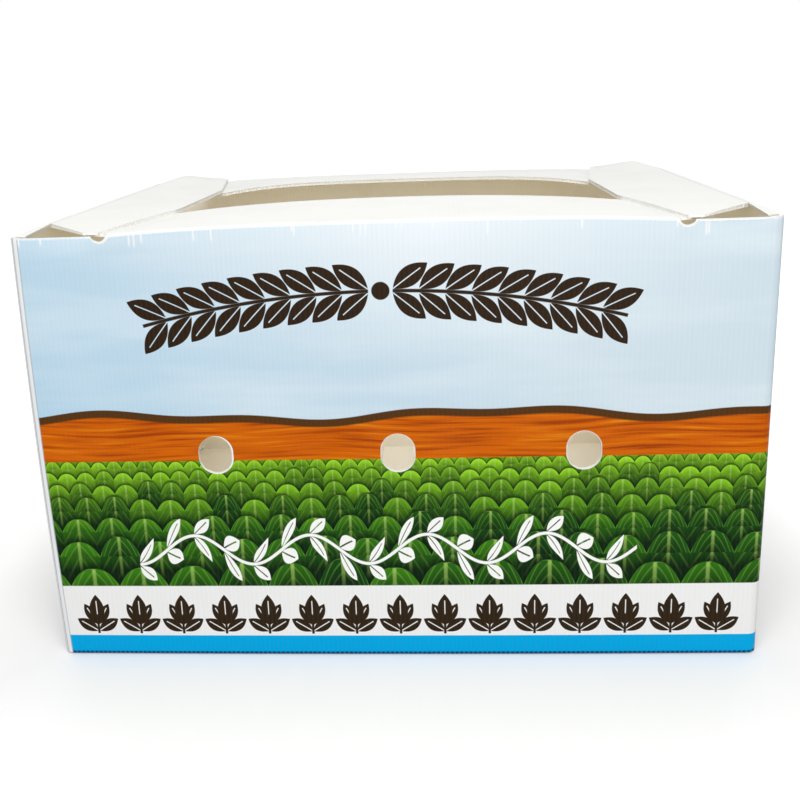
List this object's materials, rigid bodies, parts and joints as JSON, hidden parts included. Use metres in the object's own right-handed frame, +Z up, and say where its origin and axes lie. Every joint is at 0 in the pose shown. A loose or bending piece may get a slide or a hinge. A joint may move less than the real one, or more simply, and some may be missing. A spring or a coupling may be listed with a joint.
{
  "type": "corrugated plastic produce box",
  "caption": "Rectangular box folded from fluted plastic board, with oval vent holes in the long walls, folded-in top flanges round an open mouth, and hinged end flaps lying on them.",
  "frame": {"origin": "centre of the underside of the outer bottom flaps", "axes": "+Z up, the printed front faces -Y, +X to the right seen from the front"},
  "size_m": [0.5, 0.43, 0.31],
  "materials": {
    "printed_board": "semi-gloss white fluted polypropylene, the long walls printed in fields of colour",
    "white_board": "semi-gloss white fluted polypropylene, unprinted"
  },
  "bodies": {
    "box": {"box_body": "printed_board"},
    "left_flap": {"left_end_flap": "white_board"},
    "right_flap": {"right_end_flap": "white_board"}
  },
  "joints": [
    {"name": "left_flap_hinge", "type": "hinge", "parent": "box", "child": "left_flap", "pos_m": [-0.24941, 0, 0.30941], "axis": [0, -1, 0], "range_deg": [0, 180]},
    {"name": "right_flap_hinge", "type": "hinge", "parent": "box", "child": "right_flap", "pos_m": [0.24941, 0, 0.30941], "axis": [0, 1, 0], "range_deg": [0, 180]}
  ]
}
